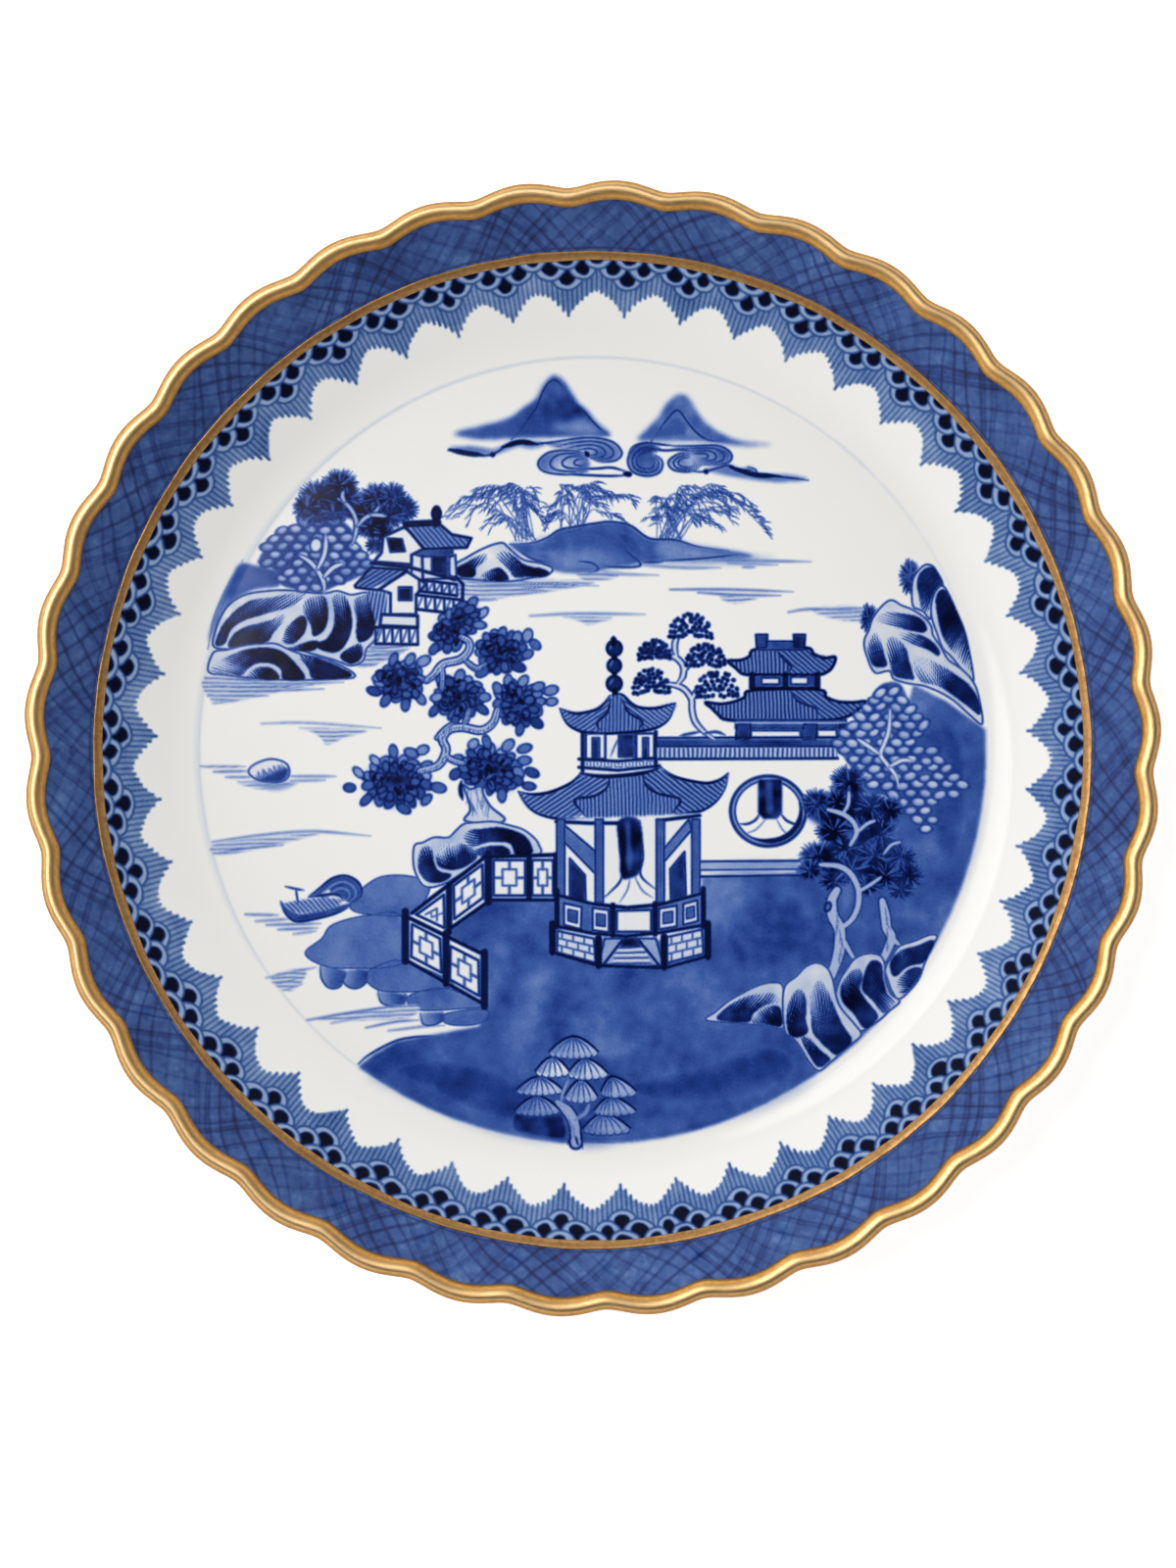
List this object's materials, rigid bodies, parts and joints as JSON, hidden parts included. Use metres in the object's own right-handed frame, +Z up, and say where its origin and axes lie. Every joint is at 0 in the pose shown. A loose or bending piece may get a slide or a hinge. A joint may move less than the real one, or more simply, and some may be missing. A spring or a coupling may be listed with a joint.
{
  "type": "saucer",
  "caption": "Round porcelain saucer with a flat well, sloping wall, steeper lobed flange, gilt rim bead, inner gilt line and a foot ring; holds a cup or small serving.",
  "frame": {"origin": "middle of the saucer on the plane its foot ring stands on", "axes": "+Z up out of the well; +Y towards the top of the painted landscape, +X towards its right"},
  "size_m": [0.1497, 0.1498, 0.0192],
  "materials": {
    "porcelain": "clear glossy glaze over white porcelain with painted blue decoration on the face; bare standing ring under the foot",
    "gilt_bead": "burnished gilding, lightly rubbed",
    "gilt_line": "soft satin gilding"
  },
  "bodies": {
    "root": {"porcelain_body": "porcelain", "gilt_rim": "gilt_bead", "gilt_band": "gilt_line"}
  },
  "joints": []
}
